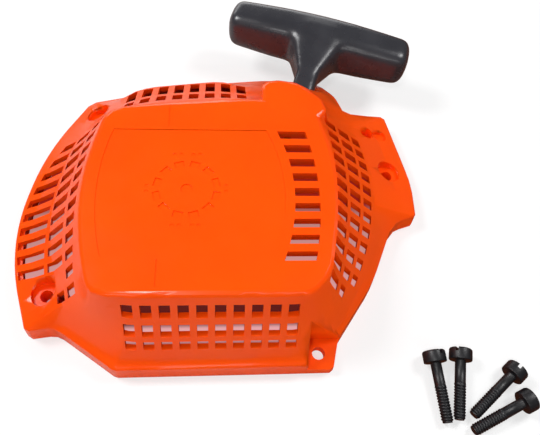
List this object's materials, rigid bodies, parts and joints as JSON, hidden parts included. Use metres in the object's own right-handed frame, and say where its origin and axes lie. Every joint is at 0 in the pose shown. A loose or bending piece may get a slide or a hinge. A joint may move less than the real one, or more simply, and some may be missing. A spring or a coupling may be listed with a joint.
{
  "type": "recoil starter",
  "caption": "Chainsaw recoil starter: vented moulded cover, spring cassette, rope pulley with ratchet dogs, T handle and loose cover screws.",
  "frame": {"origin": "where the crankshaft axis meets the cover's mating plane", "axes": "+Z out of the engine along the crankshaft axis, through the cover's flat outer face; +Y towards the edge where the rope leaves; +X towards the wide ear with the screw hole"},
  "size_m": [0.2278, 0.2225, 0.044],
  "materials": {
    "cover_nylon": "satin orange-red moulded nylon",
    "black_nylon": "matte black moulded nylon",
    "handle_plastic": "soft sheen, fine grain",
    "zinc_steel": "bright zinc",
    "spring_steel": "blued strip",
    "black_screw_steel": "black phosphate",
    "braided_rope": "braided polyester"
  },
  "bodies": {
    "cover": {"starter_housing": "cover_nylon", "rope_bushing": "black_nylon", "spring_cassette": "black_nylon", "cassette_cover": "zinc_steel", "cassette_screws": "zinc_steel", "recoil_spring": "spring_steel", "pulley_washer": "zinc_steel", "pulley_screw": "zinc_steel", "rope_lead": "braided_rope", "cover_screws": "black_screw_steel"},
    "pulley": {"rope_pulley": "black_nylon", "rope_coil": "braided_rope", "pulley_knot": "braided_rope"},
    "handle": {"handle_grip": "handle_plastic", "handle_knot": "braided_rope"}
  },
  "joints": [
    {"name": "handle_pull", "type": "slide", "parent": "cover", "child": "handle", "axis": [0.2974, 0.9548, 0], "range_m": [0, 0.75], "stiffness_N_per_m": 12, "springref_m": -0.3},
    {"name": "pulley_spin", "type": "hinge", "parent": "cover", "child": "pulley", "pos_m": [0, 0, 0], "axis": [0, 0, 1], "range_deg": [0, 1500]}
  ],
  "couplings": [
    {"joint": "pulley_spin", "follows": "handle_pull", "rad_per_m": 34.8}
  ]
}
